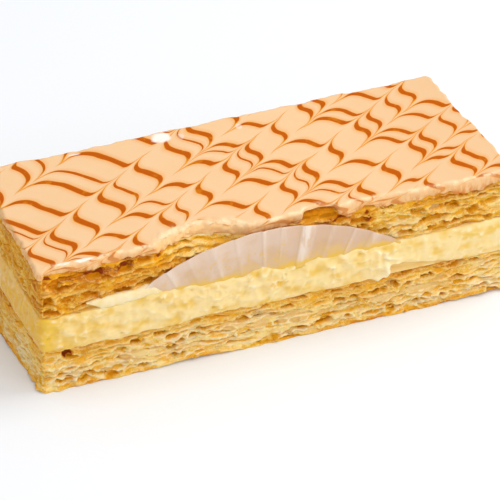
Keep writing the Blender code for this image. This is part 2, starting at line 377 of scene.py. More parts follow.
def sunken(depth, steps, span):
    """How far each place lies below those this many steps around it."""
    around = place(depth.tree, "GeometryNodeBlurAttribute", {"Value": depth, "Iterations": steps},
                   data_type="FLOAT")
    return (depth - around) / span


def moved(geometry, by):
    """The mesh with its points moved."""
    return place(geometry.tree, "GeometryNodeSetPosition", {"Geometry": geometry, "Offset": by})


def realized(geometry):
    """Instances made real."""
    return place(geometry.tree, "GeometryNodeRealizeInstances", {"Geometry": geometry})


def mesh_tree(name, sizes):
    """An empty Geometry Nodes tree that takes a mesh, these sizes and a material."""
    inputs = {"Geometry": "Geometry", **sizes, "Material": "Material"}
    return new_tree(name, "GeometryNodeTree", inputs, {"Geometry": "Geometry"})


def finished(given, result, geometry):
    """The end of a mesh tree: real meshes in its material."""
    inputs = {"Geometry": realized(geometry), "Material": given["Material"]}
    fed(result, {0: place(geometry.tree, "GeometryNodeSetMaterial", inputs)})


laminating, given, result = mesh_tree("laminating", {
    "Leaf Height": 2.2 * MM, "Leaf Relief": 0.6 * MM, "Crack Depth": 0.75 * MM,
    "Pocket Length": 4.8 * MM, "Pocket Height": 1.9 * MM, "Pocket Depth": 1.7 * MM,
    "Pockets": 0.5, "Films": 0.2, "Seed": 1.0})
seed = given["Seed"]
where = place(laminating, "GeometryNodeInputPosition") + combined(seed * 0.311, seed * 0.177, 0.0)
x, y, z = apart(where)
wander = centred(grain(where, 12 * MM, 1.0), 1.8 * MM)
swayed = z + (wander + centred(grain(where, 3.0 * MM, 3.0), 0.4 * MM))
level = swayed / given["Leaf Height"]
leaf = calc("FLOOR", level)
crack = calc("FLOOR", level + 0.5)
LEAF_BUMP = 5 * MM


def at_leaf(number, offset):
    """The place along the wall, in bumps of a leaf, with each leaf clear of the next."""
    along, across, _ = apart(scaled(where, 1 / LEAF_BUMP))
    return combined(along, across, calc("MULTIPLY_ADD", number, 7.31, offset))


stands_out = centred(grain(at_leaf(leaf, 0.0), 1.0), 1.6) * given["Leaf Relief"]
parted = faded(grain(at_leaf(crack, 80.0), 1.0, 1.0), 0.42, 0.6)
beside = abs(level - crack) * given["Leaf Height"]
groove = faded(beside, 0.36 * MM, 0.06 * MM) * parted * given["Crack Depth"]
lipped = faded(beside, 0.3 * MM, 0.42 * MM) * parted * faded(beside, 0.7 * MM, 0.5 * MM)
bent = wander * 0.7 + z + centred(grain(where, 1.3 * MM), 0.3 * MM)
length = given["Pocket Length"]
pocket_at = combined(x / length, y / length, bent / given["Pocket Height"])
pocket = place(laminating, "ShaderNodeTexVoronoi", {"Vector": pocket_at, "Scale": 1.0})
luck_open, luck_deep, luck_film = apart(pocket["Color"])
opened = calc("LESS_THAN", luck_open, given["Pockets"])
within = faded(pocket, 0.46, 0.3) * opened
lens = within * (luck_deep * 0.6 + 0.4) * given["Pocket Depth"]
rimmed = faded(pocket, 0.42, 0.5) * opened * faded(pocket, 0.62, 0.52)
long_way = combined(x, y, swayed * 3.2)


def bubbled(size):
    """Thin curved walls, at 0, round flattened bubbles, at 1."""
    return faded(abs(grain(long_way, size, 1.0) - 0.5), 0.0, 0.1)


share_open = faded(grain(long_way, 9 * MM, 1.0), 0.35, 0.65, 0.25, 1.0)
crumb = bubbled(3.2 * MM) * (0.22 * MM) + bubbled(8.0 * MM) * share_open * (0.9 * MM)
torn = centred(grain(long_way, 1.1 * MM, 2.0, 0.6), 0.2 * MM)
rugged = ((stands_out + crumb) + (groove + torn)) * (within * -0.7 + 1.0)
depth = (lipped + rimmed) * (-0.28 * MM) + (rugged + lens)
# How hollow each place is, which the dough's colour paints as painted shade
deep_shade = faded(depth, 0.9 * MM, 2.4 * MM, 0.0, 0.35)
hollow = sunken(depth, 12, 0.9 * MM) + 0.28 + deep_shade + named(laminating, "soaked")
wall = named(laminating, "wall")
filmy = within * calc("LESS_THAN", luck_film, given["Films"]) * wall
filmy = calc("MAXIMUM", filmy, named(laminating, "blown"))
block = stored(stored(given["Geometry"], "hollow", hollow), "film", filmy)
pushed = scaled(named(laminating, "outward", "FLOAT_VECTOR"), depth * -1.0)
wavy = combined(0.0, 0.0, centred(grain(where, 1.7 * MM, 1.0), 0.3 * MM))
finished(given, result, moved(block, scaled(pushed + wavy, wall)))

# --------------------------------------------------
# The base: a block of about ten leaves on a thin golden skin that curls off the table, cut
# from the baked sheet with a saw. It is palest low down, and browner towards the custard.

SHARP_EDGE = math.radians(60)
SAME_PLACE = 0.0005 * MM


def linked(name, data):
    """A new object in the scene."""
    made = bpy.data.objects.new(name, data)
    bpy.context.scene.collection.objects.link(made)
    return made


class Skin:
    """A piece's outside: rings of points from its foot up, and what each point is like."""

    def __init__(self, *looks):
        self.rings = []
        self.looks = {title: [] for title in looks}

    def add(self, ring, **looks):
        """The next ring up. A look that isn't given is 0 all round it."""
        self.rings.append(ring)
        for title, rows in self.looks.items():
            rows.append(looks.get(title, 0) + np.zeros(len(ring)))

    def closed(self, name, ways, material):
        """The skin as a piece, with its two end rings filled and these ways outward."""
        points = np.array(self.rings)
        count, columns = points.shape[:2]
        number = np.arange(count * columns).reshape(count, columns)
        after = np.roll(number, -1, axis=1)
        quads = np.stack([number[:-1], after[:-1], after[1:], number[1:]], axis=-1)
        ends = [number[0][::-1].tolist(), number[-1].tolist()]
        mesh = bpy.data.meshes.new(name)
        mesh.from_pydata(points.reshape(-1, 3), [], quads.reshape(-1, 4).tolist() + ends)
        for title, rows in self.looks.items():
            layer = mesh.attributes.new(title, "FLOAT", "POINT")
            layer.data.foreach_set("value", np.array(rows, dtype=np.float32).ravel())
        outward = mesh.attributes.new("outward", "FLOAT_VECTOR", "POINT")
        ways = np.broadcast_to(ways, (count, columns, 3)).astype(np.float32)
        outward.data.foreach_set("vector", ways.ravel())
        form = bmesh.new()
        form.from_mesh(mesh)
        bmesh.ops.remove_doubles(form, verts=form.verts, dist=SAME_PLACE)
        form.to_mesh(mesh)
        form.free()
        mesh.shade_smooth()
        mesh.set_sharp_from_angle(angle=SHARP_EDGE)
        mesh.materials.append(material)
        return linked(name, mesh)


def worked(piece, tree, settings):
    """The piece with its mesh replaced by what a Geometry Nodes tree makes of it."""
    modifier = piece.modifiers.new(tree.name, "NODES")
    modifier.node_group = tree
    for socket in tree.interface.items_tree:
        if socket.in_out == "INPUT" and socket.name in settings:
            modifier[socket.identifier] = settings[socket.name]
    bpy.context.view_layer.update()
    seen = piece.evaluated_get(bpy.context.evaluated_depsgraph_get())
    mesh = bpy.data.meshes.new_from_object(seen)
    piece.modifiers.remove(modifier)
    mesh.name = piece.name
    piece.data = mesh
    return piece


BLOCK_COLUMNS = 1400
BASE_ROWS = 56
BASE_INSET = 0.35 * MM
BASE_CURL = 0.7 * MM
BASE_ARCH = 0.9 * MM
BASE_TOP_WANDER = 0.3 * MM
BASE_SKIN = 0.05 * MM
SIDE_WANDER = 0.3 * MM
FOOT_FLARE = 0.45 * MM
CORNER_REACH = 10 * MM
CORNER_SHARDS = 1.4 * MM
POCKET_DEPTH = 1.7 * MM
POCKET_RIM = 0.25 * MM
BLISTER_SINK = 1.1 * MM
HOLE_DEPTH = 1.6 * MM
BURNT_HOLE = (-56.3 * MM, 10.3 * MM, 1.25 * MM)  # along the front, up, and its radius
# Its large pockets: place along the front, height, half length and half height, in mm
BASE_POCKETS = [(-57, 2.3, 2.4, 0.8), (-55, 9, 1.6, 0.6), (-44.5, 1.2, 2.4, 0.7),
                (-36.3, 1.6, 1.8, 0.6), (-38, 9.3, 1.8, 1), (-27, 2.2, 2, 0.6),
                (-26.7, 6.6, 1.3, 0.8), (-20.5, 9, 2.4, 0.6), (-10, 8.7, 2, 0.8),
                (-1.5, 8.7, 1.2, 0.6), (5.5, 12, 1.6, 0.6), (6, 2.3, 1.6, 0.6),
                (12.3, 2.7, 2.3, 0.9), (18.7, 2.4, 1, 0.5), (23.8, 2.2, 1.6, 0.5),
                (31.3, 2.2, 2.6, 0.6), (28.3, 8.2, 0.9, 0.8), (31.6, 9, 1, 0.6),
                (35.2, 8.8, 1.1, 0.9), (37.3, 2.2, 1.2, 0.4), (43.4, 2.4, 1.8, 0.6),
                (47.3, 11.2, 1.8, 0.8), (48.5, 7.2, 2.4, 0.6), (54.5, 3.2, 2.2, 0.6)]
# Blisters, where one leaf has blown out into a smooth film, given in the same way
BASE_BLISTERS = [(-39, 5.4, 3.6, 1.4), (-33.3, 5.5, 1.5, 1.2), (-24, 4.2, 4.6, 0.5),
                 (-12.3, 7.4, 3.8, 1.6), (-5, 6.2, 2.2, 1.3), (4, 6, 4.8, 1.7),
                 (11.8, 5.3, 2, 0.6), (27.6, 5.9, 3.2, 1.1), (38.8, 6, 4.6, 1.4),
                 (45.6, 5.4, 1.8, 0.6)]
OFF_THE_FRONT = 9  # too many times a pocket's size away for it to show

cut = Cut(BLOCK_COLUMNS, seed=11)
side_waves = cut.waves(30)
curl = BASE_CURL * np.clip(cut.waves(10) + 0.25 * cut.waves(2.5), 0, 1)
curl = np.where(cut.front, 0.15 * curl + BASE_ARCH * (cut.near(-24, 8) + cut.near(57, 10)), curl)
brown = cut.waves(9)
ripple = 0.15 * cut.waves(2.5) + 0.08 * cut.waves(0.8)
top_wander = BASE_TOP_WANDER * cut.waves(8)
clean_ends = 1 - 0.25 * np.abs(cut.out_x)
corner = np.clip(1 - np.hypot(cut.x + LENGTH / 2, cut.y + WIDTH / 2) / CORNER_REACH, 0, 1)
corner = CORNER_SHARDS * corner**0.5 * np.clip(0.35 + 0.8 * cut.waves(1.4), 0, 1)


def away_from(spots, z, ripple):
    """How far each place round the cut is from each spot, 1 at its edge, and how far above it."""
    for at, up, half_length, half_height in spots:
        over = (z / MM - up + ripple) / half_height
        away = np.hypot((cut.x / MM - at) / half_length, over)
        yield np.where(cut.front, away, OFF_THE_FRONT), over


def pocketed(z, pockets, ripple):
    """The pockets at this height round the cut, and their rims, each from 0 to 1."""
    inside, rim = np.zeros((2, BLOCK_COLUMNS))
    for away, _ in away_from(pockets, z, ripple):
        inside = np.maximum(inside, eased(away, 1.15, 0.75))
        rim = np.maximum(rim, eased(away, 1.0, 1.25) * eased(away, 1.9, 1.4))
    return inside, rim * (1 - inside)


def blistered(z, blisters, ripple):
    """The blisters at this height round the cut, and how deep they lie, each from 0 to 1."""
    film, sunk = np.zeros((2, BLOCK_COLUMNS))
    for away, over in away_from(blisters, z, 1.5 * ripple):
        here = eased(away, 1.1, 0.85)
        film = np.maximum(film, here)
        sunk = np.maximum(sunk, here * (0.5 + 0.5 * np.clip(over, -1, 1)))
    return film, sunk


skin = Skin("bake", "wall", "soaked", "blown")
base_inset = BASE_INSET + SIDE_WANDER * side_waves
skin.add(cut.ring(base_inset + 4.0 * MM, base_low.z + 0.02 * MM), bake=0.4)
skin.add(cut.ring(base_inset + 2.2 * MM, base_low.z + 0.1 * MM + 0.3 * curl), bake=0.4)
skin.add(cut.ring(base_inset + 1.0 * MM, 0.1 * MM + 0.7 * curl), bake=0.45, wall=0.3)
for share in np.linspace(0, 1, BASE_ROWS):
    z = BASE_SKIN + curl + share * (base_high.z - BASE_SKIN - curl) + top_wander * share
    toasted = 0.1 + 0.34 * eased(share, 0.09, 0.02) + 0.3 * share**2 + 0.12 * brown
    # Away from the front the pastry is painted browner, as painted shade on the ends and back
    toasted = toasted + 0.1 * (1 - cut.front)
    hole = np.hypot(cut.x - BURNT_HOLE[0], z - BURNT_HOLE[1]) / BURNT_HOLE[2]
    hole = np.where(cut.front, np.exp(-(hole**4)), 0)
    shards = corner * eased(share, 0.24, 0.12) * (0.5 + 0.5 * math.sin(60 * share))
    pocket, rim = pocketed(z, BASE_POCKETS, ripple)
    film, sunk = (1 - pocket) * blistered(z, BASE_BLISTERS, ripple)
    inset = base_inset + HOLE_DEPTH * hole + POCKET_DEPTH * pocket - POCKET_RIM * rim
    inset = inset - shards - FOOT_FLARE * eased(share, 0.1, 0) + BLISTER_SINK * sunk
    steady = clean_ends * min(1, 0.3 + 7 * share) * (1 - 0.9 * np.maximum(pocket, film))
    # Pockets and sunk blisters are painted amber as painted shade, and pocket rims paler as painted
    # light
    skin.add(cut.ring(inset, z), bake=toasted + 1.3 * hole, wall=steady,
             soaked=0.6 * pocket - 0.3 * rim + 0.1 * sunk, blown=film)
skin.add(cut.ring(base_inset + 0.7 * MM, base_high.z + top_wander), bake=0.35, wall=0.5)
skin.add(cut.ring(base_inset + 2.5 * MM, base_high.z + top_wander - 0.1 * MM), bake=0.3)
skin.add(cut.ring(base_inset + 4.5 * MM, base_high.z), bake=0.3)

base_dough = pastry_material("base pastry")
base_pastry = skin.closed("base_leaves", cut.outward, base_dough)
worked(base_pastry, laminating, {"Seed": 1.0, "Material": base_dough})
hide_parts("base_pastry")
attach(base_pastry, "root")

# --------------------------------------------------
# Loose flakes: where the saw dragged, the leaves' brittle edges broke into little curled
# scales that still hang on by one side. A Geometry Nodes tree sets four shapes of flake at
# random over the wall of a block, and stands them out from it.

FLAKE_SHAPES = 4
# Flakes stand proud, so they get a low hollow value and take some painted light from the dough
FLAKE_TONE = 0.16


def gathered(*geometries):
    """All of these in one."""
    tree = geometries[0].tree
    both = tree.nodes.new("GeometryNodeJoinGeometry")
    for geometry in geometries:
        tree.links.new(geometry.socket, both.inputs[0])
    return Flow(both.outputs[0])


giving_thickness, given, result = new_tree(
    "giving thickness", "GeometryNodeTree",
    {"Geometry": "Geometry", "Thickness": 0.08 * MM}, {"Geometry": "Geometry"})
raised = place(giving_thickness, "GeometryNodeExtrudeMesh", {
    "Mesh": given, "Offset Scale": given["Thickness"], "Individual": False})
under = place(giving_thickness, "GeometryNodeFlipFaces", {"Mesh": given})
closed = place(giving_thickness, "GeometryNodeMergeByDistance", {
    "Geometry": gathered(raised, under), "Distance": 0.001 * MM})
fed(result, {0: closed})

flaking, given, result = mesh_tree("flaking", {
    "Flakes Per Square Metre": 7.0e4, "Flake Length": 1.5 * MM, "Flake Thickness": 0.1 * MM,
    "Seed": 1})
proud = faded(named(flaking, "hollow"), 0.34, 0.2) * named(flaking, "wall")
points = place(flaking, "GeometryNodeDistributePointsOnFaces", {
    "Mesh": given, "Selection": calc("GREATER_THAN", proud, 0.3),
    "Density": given["Flakes Per Square Metre"], "Seed": given["Seed"]})
shapes = []
for shape in range(FLAKE_SHAPES):
    sheet = place(flaking, "GeometryNodeMeshGrid", {
        "Size X": 1.0, "Size Y": 0.8, "Vertices X": 6, "Vertices Y": 5})
    spot = place(flaking, "GeometryNodeInputPosition")
    ragged = place(flaking, "ShaderNodeTexNoise", {
        "Vector": spot + (3.1 * shape, 1.7 * shape, 0.9), "Scale": 2.4})
    reach = apart(spot)[0]
    lift = combined(0.0, 0.0, reach * reach * (0.5 - 0.3 * shape))
    curled = moved(sheet, (ragged["Color"] - (0.5, 0.5, 0.5)) * (1.0, 1.0, 0.5) + lift)
    thickness = given["Flake Thickness"] / given["Flake Length"]
    thick = place(flaking, "GeometryNodeGroup", {0: curled, 1: thickness},
                  node_tree=giving_thickness)
    shapes.append(place(flaking, "GeometryNodeGeometryToInstance", {0: thick}))
faced = place(flaking, "FunctionNodeAlignRotationToVector", {
    "Vector": named(flaking, "outward", "FLOAT_VECTOR")}, axis="X")
tilt = place(flaking, "FunctionNodeRandomValue", {
    0: (-0.5, -0.55, -0.8), 1: (0.5, 0.35, 0.8), "Seed": 5}, data_type="FLOAT_VECTOR")
turned = place(flaking, "FunctionNodeRotateRotation", {
    "Rotation": faced, "Rotate By": tilt}, rotation_space="LOCAL")
grown = place(flaking, "FunctionNodeRandomValue", {2: 0.45, 3: 1.0, "Seed": 6}, 1,
              data_type="FLOAT")
kinds = place(flaking, "FunctionNodeRandomValue", {4: 0, 5: FLAKE_SHAPES - 1, "Seed": 7}, 2,
              data_type="INT")
set_out = place(flaking, "GeometryNodeInstanceOnPoints", {
    "Points": points, "Instance": gathered(*shapes), "Pick Instance": True,
    "Instance Index": kinds, "Rotation": turned, "Scale": grown * given["Flake Length"]})
finished(given, result, stored(realized(set_out), "hollow", FLAKE_TONE))


def flakes_on(block, name, settings):
    """A piece of its own made of the loose flakes on a block's wall."""
    flakes = linked(name, block.data.copy())
    worked(flakes, flaking, {"Material": block.data.materials[0], **settings})
    flakes.data.shade_smooth()
    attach(flakes, "root")


flakes_on(base_pastry, "base_flakes", {"Seed": 3})

# --------------------------------------------------
# The custard: a thick set cream, spread over the base and pressed out by the lid. It swells
# over the base's edge along most of the front, ends there in a torn step, and is wiped back
# to the right of it. A second tree gives it its lumps, knife marks and burst bubbles.

custard_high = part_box("custard")[1]
CUSTARD_COLUMNS = 1000
CUSTARD_ROWS = 40
CUSTARD_CORNER = 2.6 * MM
CUSTARD_REST = 0.15 * MM
SWELL = 0.6 * MM
STEP_AT = 27.3 * MM
STEP_LEAN = 3.4 * MM
STEP_BACK = -0.35 * MM
LIP = 0.65 * MM
RIDGE = 0.75 * MM
SCOOP_DEPTH = 1.1 * MM
SCOOP_START = 26.0 * MM
SCOOP_END = 56.0 * MM
# Where it stands up against the paper: place along the front, half width and height, in mm
PEAKS = [(-4.3, 2, 1.5), (-7.5, 1.6, 0.6), (-24, 2.2, 0.8), (-36, 2.6, 2), (-31.5, 2.5, 0.9),
         (20, 2, 0.6), (11, 2.5, 0.4)]

spreading, given, result = mesh_tree("spreading", {
    "Lump Size": 3.0 * MM, "Lump Height": 1.05 * MM, "Bubble Size": 4.0 * MM,
    "Bubble Depth": 0.6 * MM, "Tone": 0.5})
where = place(spreading, "GeometryNodeInputPosition")
sized = scaled(where, 1.0 / given["Lump Size"])
lumps = centred(grain(sized, 1.0, 1.0), 1.0) + centred(grain(sized, 0.45, 1.0), 0.2)
marks = centred(grain(sized * (0.35, 0.35, 2.2), 1.0), 0.3)
pulled = faded(abs(centred(grain(sized, 1.5), 1.0)), 0.14, 0.0, 0.0, 0.32)
pulled = pulled * faded(grain(sized, 2.4, 1.0), 0.42, 0.58)
swollen = (lumps + (marks + pulled)) * given["Lump Height"]
bubble_at = scaled(where, 1.0 / given["Bubble Size"])
bubble = place(spreading, "ShaderNodeTexVoronoi", {"Vector": bubble_at, "Scale": 1.0})
depth = faded(bubble, 0.12, 0.03) * given["Bubble Depth"] - swollen
hollow = sunken(depth, 14, 0.6 * MM) + given["Tone"]
pushed = scaled(named(spreading, "outward", "FLOAT_VECTOR"),
                depth * -1.0 * named(spreading, "wall"))
finished(given, result, moved(stored(given, "hollow", hollow), pushed))

custard_cut = Cut(CUSTARD_COLUMNS, seed=50, radius=CUSTARD_CORNER)
front = custard_cut.front
facing = eased(-custard_cut.out_y, 0, 0.9)
torn = STEP_AT + 1.0 * MM * custard_cut.waves(3)
shreds = custard_cut.waves(1.3)
droop = (0.45 * custard_cut.waves(7) + 0.25 * custard_cut.waves(2)) * MM
rise = 0.25 * custard_cut.waves(6) + 0.15 * custard_cut.waves(2)
rise = rise + 0.4 * np.clip(custard_cut.waves(1.2), 0, 1)
for at, half_width, height in PEAKS:
    rise = rise + height * custard_cut.near(at, half_width)
rise = np.where(front, rise, 0.2 * rise) * MM
scoop_top = 0.42 * eased(custard_cut.x, SCOOP_END, SCOOP_START)
smooth = 1 - 0.55 * eased(custard_cut.x, 30 * MM, 38 * MM)
skin = Skin("wall", "scooped", "lip")
for share in np.linspace(0, 1, CUSTARD_ROWS):
    scooped = eased(scoop_top - share, 0, 0.12) * (1 - 0.6 * eased(share, 0.16, 0.02))
    step = torn + STEP_LEAN * share**0.8 + 0.9 * MM * math.sin(9 * share)
    past = (custard_cut.x - step) / (0.5 * MM)
    wiped = 1 / (1 + np.exp(-np.clip(2 * past, -30, 30)))
    lip = np.clip(1 - np.abs(past + 2.4) / 4, 0, 1) * (1 + 0.4 * shreds)
    lip = LIP * lip * eased(share, 0.56, 0.44)
    ridge = custard_cut.near(31 - 14 * (share - 0.5) + 0.8 * math.sin(17 * share), 1.2)
    ridge = RIDGE * ridge * (1 + 0.6 * shreds) * eased(share, 0.44, 0.55) * eased(share, 0.95, 0.75)
    bulge = math.sin(math.pi * share**0.8) ** 0.4
    back = STEP_BACK + SCOOP_DEPTH * scooped
    swell = CUSTARD_REST + facing * (SWELL * (1 - wiped) - back * wiped + lip - CUSTARD_REST)
    out = swell + ridge - 0.8 * MM * (1 - bulge)
    foot = base_high.z + np.where(front, droop * (1 - wiped) - 0.2 * MM - 1.4 * lip, 0.1 * droop)
    z = foot + (custard_high.z + 0.2 * MM + rise - foot) * share
    if share == 0:
        skin.add(custard_cut.ring(4.0 * MM, base_high.z))
        skin.add(custard_cut.ring(3.0 * MM - out, base_high.z))
    # The lip look, where the lip and ridge stand out, is painted paler by the cream as a painted
    # highlight
    skin.add(custard_cut.ring(-out, z), wall=smooth * min(1, 5 * share, 6 * (1 - share)),
             scooped=np.where(front, wiped * scooped, 0),
             lip=np.clip((lip + ridge) / (0.6 * MM), 0, 1) * facing)
top = custard_high.z + 0.1 * MM
skin.add(custard_cut.ring(1.2 * MM - out, np.maximum(z - 0.3 * MM, top)))
skin.add(custard_cut.ring(4.0 * MM, top))

custard_cream, tree, shader, there = new_material("custard")
hollow = look(tree, "hollow")
cloud = grain(there * (0.6, 0.6, 1.0), 3.5 * MM, 1.5)
fleck = grain(there, 0.8 * MM, 3.0, 0.6)
x, y, _ = apart(there)
to_left = faded(x + centred(cloud, 18 * MM), -42 * MM, -63 * MM)
to_left = (to_left + faded(x, -61 * MM, -63.5 * MM, 0.0, 0.3)) * faded(y, 20 * MM, -20 * MM, 0.3)
# Deeper yellow: random patches, the left side, and hollows as painted shade
yellow_and_shade = centred(cloud, 1.2) + hollow * 0.4 + to_left * 0.65
# The left end face painted deeper amber, as painted shade
left_end_shade = faded(apart(look(tree, "outward", "Vector"))[0], -0.3, -0.95, 0.0, 0.5)
tone = coated(
    srgb(244, 217, 152),
    (faded(yellow_and_shade, 0.0, 0.9), srgb(234, 190, 70)),
    (faded(yellow_and_shade, 0.65, 1.2), srgb(238, 196, 48)),
    # Raised crests painted paler, as painted highlight
    (faded(hollow, 0.4, -0.25, 0.0, 0.8), srgb(248, 232, 196)),
    (left_end_shade, srgb(234, 172, 38)),
    (look(tree, "scooped") * 0.85, srgb(234, 192, 108)),
    # Lips and ridges painted paler, as painted highlight
    (look(tree, "lip") * 0.7, srgb(250, 238, 204)),
)
fed(shader, {
    "Base Color": tone,
    "Roughness": fleck * 0.3 + 0.22,
    "Normal": relief(fleck, 0.15, 0.15 * MM),
    **waxy(0.45, (1.0, 0.75, 0.35), 0.8 * MM),
})

custard = skin.closed("custard_filling", custard_cut.outward, custard_cream)
worked(custard, spreading, {"Material": custard_cream})
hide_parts("custard")
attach(custard, "root")

# --------------------------------------------------
# The lid: a second block of leaves, set back behind the custard. Its top is toasted, and its
# upper leaves are broken back in steps where the icing has gone from two places at the front.

lid_low, lid_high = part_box("lid_pastry")
LID_ROWS = 54
LID_SETBACK = 0.5 * MM
LID_SUNK = 0.2 * MM
TERRACES = 4
ICING_SETBACK_LEFT = 1.9 * MM
ICING_SETBACK_RIGHT = 0.3 * MM
ICING_SETBACK_SIDES = 0.05 * MM
ROOM_BEHIND_PAPER = 0.75 * MM
PAPER_MIDDLE = -4.0 * MM
PAPER_HALF = 38.0 * MM
# Where the icing has gone: a crumbled place, and a blister that has lost its shell
CRUMBLED = {"middle": -20.0 * MM, "half": 12.5 * MM, "depth": 4.2 * MM, "power": 2}
BLISTER = {"middle": 11.6 * MM, "half": 4.9 * MM, "depth": 2.0 * MM, "power": 4}
BLISTER_FLOOR = 32.6 * MM
# Its burnt leaves under the icing, and its large pockets, given as the base's are
BURNT = [(-61, 33.8, 1.5, 0.4), (-48.5, 33.1, 2.4, 0.55), (-41, 32.9, 2.2, 0.55),
         (-31, 32.6, 1, 0.6), (16.5, 31.9, 3.4, 0.3), (16.9, 32.2, 0.8, 0.6),
         (23.8, 33.1, 0.7, 0.6), (24.3, 30.8, 1.2, 0.7), (29, 34, 2.2, 0.4), (33.6, 34, 1, 0.4),
         (50, 33.4, 2, 0.4)]
LID_POCKETS = [(-61.5, 27.4, 1.9, 1.6), (-55.5, 27, 2, 1.1), (-60.5, 23.8, 2.4, 0.7),
               (-50, 26.6, 2.4, 0.7), (-41.5, 26.1, 2.6, 0.8), (-57, 30.8, 3.4, 0.7),
               (28.5, 26, 1.6, 0.7), (34.6, 24.3, 2.6, 0.7), (37.3, 30.1, 1.9, 0.9),
               (41, 24.2, 1.7, 0.7), (41.5, 27, 3.6, 1.1), (47, 29.2, 1.7, 1.2),
               (46.8, 24.4, 2.3, 0.7), (52.3, 27.1, 1.5, 1.1), (56.8, 23.6, 1.2, 0.8)]


def broken_back(round_cut, hole):
    """How far the icing has gone from the front edge at this hole, round the cut."""
    reach = np.abs((round_cut.x - hole["middle"]) / hole["half"])
    gone = hole["depth"] * np.clip(1 - reach ** hole["power"], 0, 1)
    return np.where(round_cut.front, gone, 0)


def icing_setback(round_cut):
    """How far back from the cut the icing's edge lies along the front, less towards the right."""
    ease = np.clip((round_cut.x / MM - 15) / 40, 0, 1)
    back = ICING_SETBACK_LEFT + (ICING_SETBACK_RIGHT - ICING_SETBACK_LEFT) * ease
    return np.where(round_cut.front, back, ICING_SETBACK_SIDES)


cut.dice = np.random.default_rng(60)  # the lid lies on the same cut, and is uneven in its own way
chipped = cut.waves(6) * 0.6 + cut.waves(1.8) * 0.3
lid_waves = cut.waves(26)
brown = cut.waves(8)
ripple = 0.4 * cut.waves(2.5) + 0.2 * cut.waves(0.8)
room = (cut.x - PAPER_MIDDLE) / PAPER_HALF
room = np.where(cut.front, np.clip(1 - room**8, 0, 1) * ROOM_BEHIND_PAPER, 0)
lid_inset = LID_SETBACK + SIDE_WANDER * lid_waves + room
crumbled, blister = broken_back(cut, CRUMBLED), broken_back(cut, BLISTER)
under_icing = icing_setback(cut)
to_right = eased(cut.x, 18 * MM, 34 * MM) * cut.front
# Left end painted browner towards the front, as painted shade given as bake; other ends a little
# paler
end_shade = 0.2 * eased(-cut.out_x, 0, 0.9) * eased(cut.y, -8 * MM, -16 * MM) - 0.05
lid_foot = lid_low.z - LID_SUNK
lid_head = lid_high.z + LID_SUNK
skin = Skin("bake", "wall", "soaked")
skin.add(cut.ring(lid_inset + 4.0 * MM, lid_foot), bake=0.3)
skin.add(cut.ring(lid_inset + 1.0 * MM, lid_foot), bake=0.3)
for share in np.linspace(0, 1, LID_ROWS):
    z = lid_foot + share * (lid_head - lid_foot)
    slope = max(0, 2 * share - 1)
    terrace = TERRACES * slope**1.2 + 0.8 * chipped
    within = terrace - np.floor(terrace)
    stepped = (np.floor(terrace) + eased(within, 0, 0.4)) / TERRACES
    open_here = np.clip(blister / (0.7 * MM), 0, 1)
    open_here = open_here * np.clip((z - BLISTER_FLOOR) / (0.5 * MM), 0, 1)
    pocket, rim = pocketed(z, LID_POCKETS, ripple)
    inset = lid_inset + under_icing * slope**3 + crumbled * np.clip(stepped, 0, 1)
    inset = inset + 1.2 * MM * open_here + POCKET_DEPTH * pocket - POCKET_RIM * rim
    burnt = 0
    for away, _ in away_from(BURNT, z, ripple):
        burnt = np.maximum(burnt, np.exp(-(away**2)) * (1 - open_here))
    fresh = np.clip(crumbled / (2 * MM), 0, 1) * slope
    browner = 0.17 * eased(cut.x, -22 * MM, -50 * MM) * (0.6 + 0.8 * slope)
    browner = np.where(cut.front, browner - (0.17 - 0.1 * slope) * to_right, end_shade)
    toasted = 0.4 + 0.1 * share**3 + 0.12 * brown + 0.64 * burnt - 0.3 * fresh + browner
    steady = (clean_ends - 0.85 * open_here) * min(1, 0.1 + 7 * (1 - share)) * (1 - 0.75 * pocket)
    # Pockets and undercuts below the terraces painted amber as painted shade; pocket rims paler as
    # painted light
    undercut = fresh * eased(within, 0.4, 0.55) * eased(within, 0.95, 0.75)
    soaked = 0.1 + 0.45 * open_here + 0.6 * pocket - 0.3 * rim - 0.3 * fresh + 0.8 * undercut
    soaked = soaked - 0.1 * to_right * (1 - slope)
    skin.add(cut.ring(inset, z), bake=toasted, wall=steady, soaked=soaked)
skin.add(cut.ring(inset + 1.2 * MM, lid_head), bake=0.4, wall=0.4)
skin.add(cut.ring(inset + 4.0 * MM, lid_head), bake=0.4)
skin.add(cut.drawn_in(skin.rings[-1], 0.3), bake=0.4)

lid_dough = pastry_material("lid pastry")
lid_pastry = skin.closed("lid_leaves", cut.outward, lid_dough)
worked(lid_pastry, laminating, {
    "Pocket Length": 5.2 * MM, "Pocket Height": 2.3 * MM, "Pockets": 0.6, "Films": 0.05,
    "Seed": 2.0, "Material": lid_dough})
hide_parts("lid_pastry")
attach(lid_pastry, "root")
flakes_on(lid_pastry, "lid_flakes", {"Seed": 4, "Flake Length": 1.7 * MM})

# --------------------------------------------------
# The icing: peach fondant poured on in one coat, with a rounded rim that hangs a little over
# the lid. Caramel lines are piped across it wet, and a skewer is drawn through them to and fro,
# which pulls them out into feathers.

ICING_COLUMNS = 1400
ICING_DROOP = 1.0 * MM
BLISTER_LIFT = 0.9 * MM
# Its rim from the underside up: mm in from the edge, share of the height, and how much of it is
# bare side, painted darker as painted shade, and shoulder, painted paler as painted highlight. Then
# its top, in rings drawn in to these shares of the rim
ICING_RIM = [(4, 0, 1, 0), (1.2, 0, 1, 0), (0.5, 0, 1, 0), (0.12, 0.06, 1, 0), (0, 0.2, 1, 0),
             (-0.05, 0.36, 1, 0), (-0.02, 0.52, 0.9, 0), (0.06, 0.68, 0.7, 0.1),
             (0.18, 0.82, 0.45, 0.4), (0.36, 0.93, 0.2, 0.8), (0.6, 1.01, 0.05, 1),
             (0.9, 1.03, 0, 0.8), (1.3, 1.01, 0, 0.3), (2, 1, 0, 0)]
ICING_INWARD = [0.94, 0.86, 0.77, 0.67, 0.56, 0.45, 0.34, 0.23, 0.12, 0.03]
